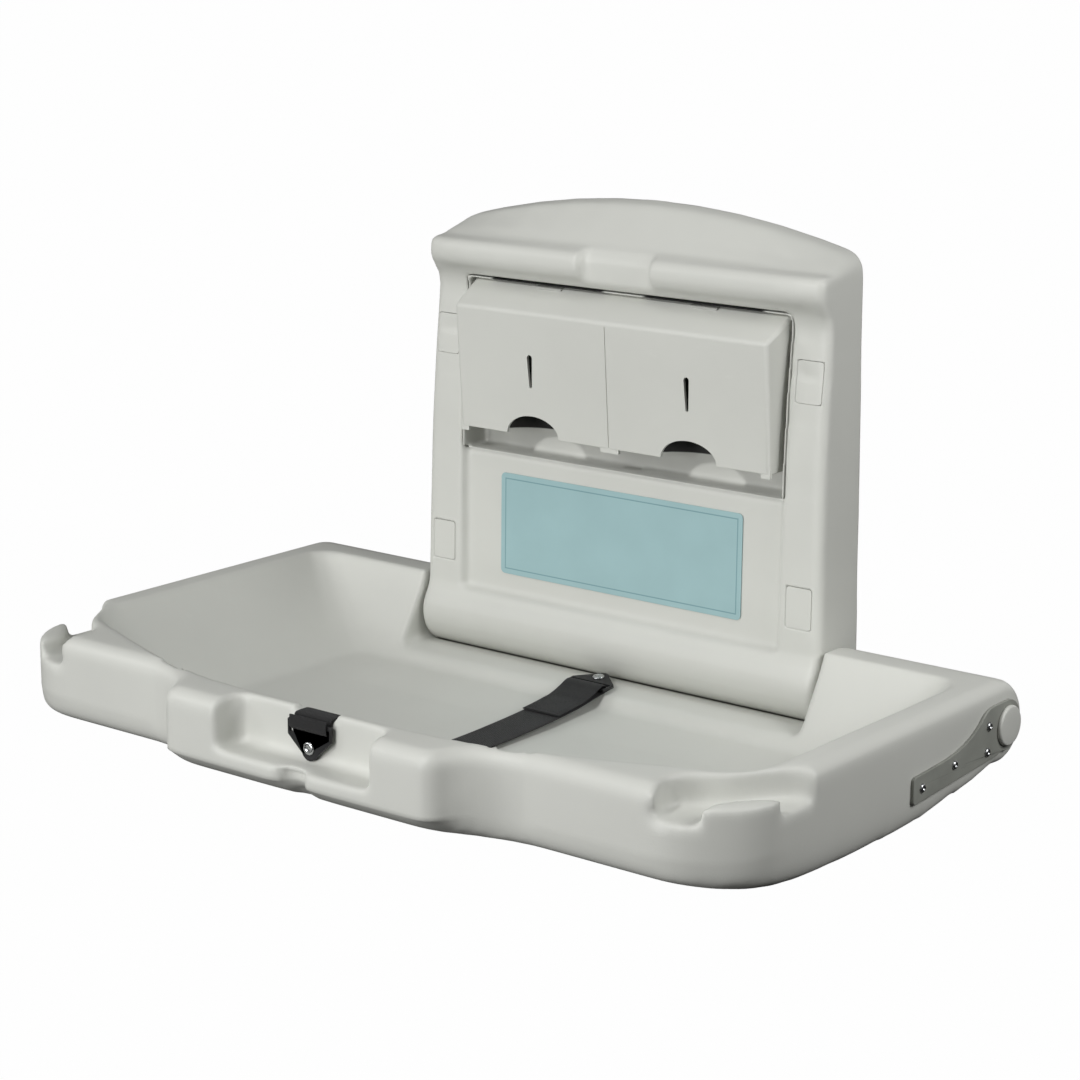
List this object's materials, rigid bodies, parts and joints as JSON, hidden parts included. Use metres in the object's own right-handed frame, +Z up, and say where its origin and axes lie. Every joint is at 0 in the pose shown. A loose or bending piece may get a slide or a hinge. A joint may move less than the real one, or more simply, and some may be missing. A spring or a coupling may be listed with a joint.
{
  "type": "baby changing station",
  "caption": "Wall-mounted baby changing station: a contoured fold-down bed with safety strap and bag hooks on a back unit with a paper liner dispenser.",
  "frame": {"origin": "on the wall face of the steel wall plate, in the middle of the width and at the height of the fold hinge", "axes": "+X to the viewer's right, +Y into the wall, +Z up; the bed opens towards -Y"},
  "size_m": [0.8756, 0.536, 0.5033],
  "materials": {
    "body_plastic": "light warm grey moulded polyethylene with a fine texture",
    "dark_steel": "dark grey powder coat",
    "steel": "zinc-plated and plain steel",
    "black_plastic": "black moulded plastic",
    "webbing": "black woven webbing",
    "label_film": "pale blue printed film, left plain",
    "bearing_nylon": "natural nylon",
    "rubber_stop": "black rubber"
  },
  "bodies": {
    "back_unit": {"back_shell": "body_plastic", "damper_housing": "black_plastic", "door_hinge_left": "body_plastic", "door_hinge_right": "body_plastic", "label_panel": "label_film", "liner_door": "body_plastic", "liner_hopper": "body_plastic", "screw_cover_lower_left": "body_plastic", "screw_cover_lower_right": "body_plastic", "screw_cover_upper_left": "body_plastic", "screw_cover_upper_right": "body_plastic", "shaft_bush_left": "bearing_nylon", "shaft_bush_right": "bearing_nylon", "stop_block_left": "rubber_stop", "stop_block_right": "rubber_stop", "wall_plate": "steel", "wall_screw_lower_left": "steel", "wall_screw_lower_right": "steel", "wall_screw_upper_left": "steel", "wall_screw_upper_right": "steel"},
    "bed": {"axle_cap_left": "body_plastic", "axle_cap_right": "body_plastic", "backing_plate_left": "steel", "backing_plate_right": "steel", "bed_tray": "body_plastic", "bed_underside": "body_plastic", "damper_rotor": "bearing_nylon", "front_anchor": "black_plastic", "front_anchor_rivet": "steel", "hinge_plate_left": "dark_steel", "hinge_plate_right": "dark_steel", "hinge_rivet_left_1": "steel", "hinge_rivet_left_2": "steel", "hinge_rivet_left_3": "steel", "hinge_rivet_left_4": "steel", "hinge_rivet_right_1": "steel", "hinge_rivet_right_2": "steel", "hinge_rivet_right_3": "steel", "hinge_rivet_right_4": "steel", "hinge_shaft": "steel", "rear_anchor": "black_plastic", "rear_anchor_rivet": "steel", "safety_strap": "webbing", "stop_arm_left": "steel", "stop_arm_right": "steel"}
  },
  "joints": [
    {"name": "bed_fold", "type": "hinge", "parent": "back_unit", "child": "bed", "pos_m": [0, -0.042, 0], "axis": [-1, 0, 0], "range_deg": [0, 90]}
  ]
}
